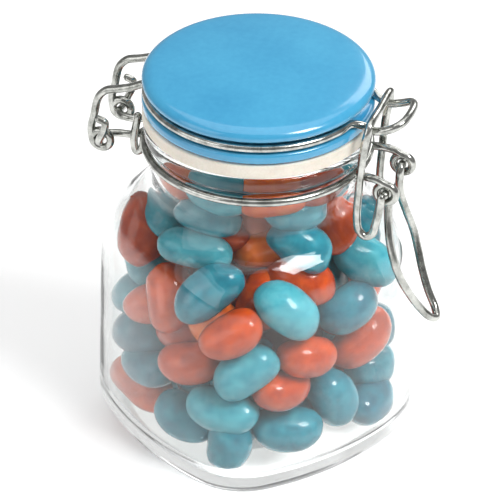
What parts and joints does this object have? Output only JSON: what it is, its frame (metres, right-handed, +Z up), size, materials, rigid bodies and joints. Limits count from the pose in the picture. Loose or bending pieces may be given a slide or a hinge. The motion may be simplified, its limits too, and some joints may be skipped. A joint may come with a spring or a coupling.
{
  "type": "jar of jelly beans",
  "caption": "Small square glass jar of teal and orange jelly beans with a glazed blue lid held by a chrome wire clip.",
  "frame": {"origin": "centre of the glass base, on the surface that the jar stands on", "axes": "+Z up along the neck, latch towards -Y, hinge towards +Y"},
  "size_m": [0.069, 0.079, 0.0912],
  "materials": {
    "clear_glass": "clear pressed glass",
    "sugar_shell": "glossy sugar shell in two colours, teal and orange",
    "seal_rubber": "pale translucent rubber",
    "blue_glaze": "glossy sky blue glaze on ceramic",
    "chrome_wire": "bright plated steel wire"
  },
  "bodies": {
    "jar_body": {"glass_jar": "clear_glass", "jelly_beans": "sugar_shell", "neck_ring": "chrome_wire"},
    "lid_body": {"lid": "blue_glaze", "seal_ring": "seal_rubber", "lid_wire": "chrome_wire", "clamp_hoop": "chrome_wire"},
    "lever_body": {"lever": "chrome_wire"}
  },
  "joints": [
    {"name": "lid_hinge", "type": "hinge", "parent": "jar_body", "child": "lid_body", "pos_m": [0, 0.0335, 0.0695], "axis": [-1, 0, 0], "range_deg": [0, 110]},
    {"name": "lever_swing", "type": "hinge", "parent": "jar_body", "child": "lever_body", "pos_m": [0, -0.0309, 0.0692], "axis": [-1, 0, 0], "range_deg": [0, 110]}
  ]
}
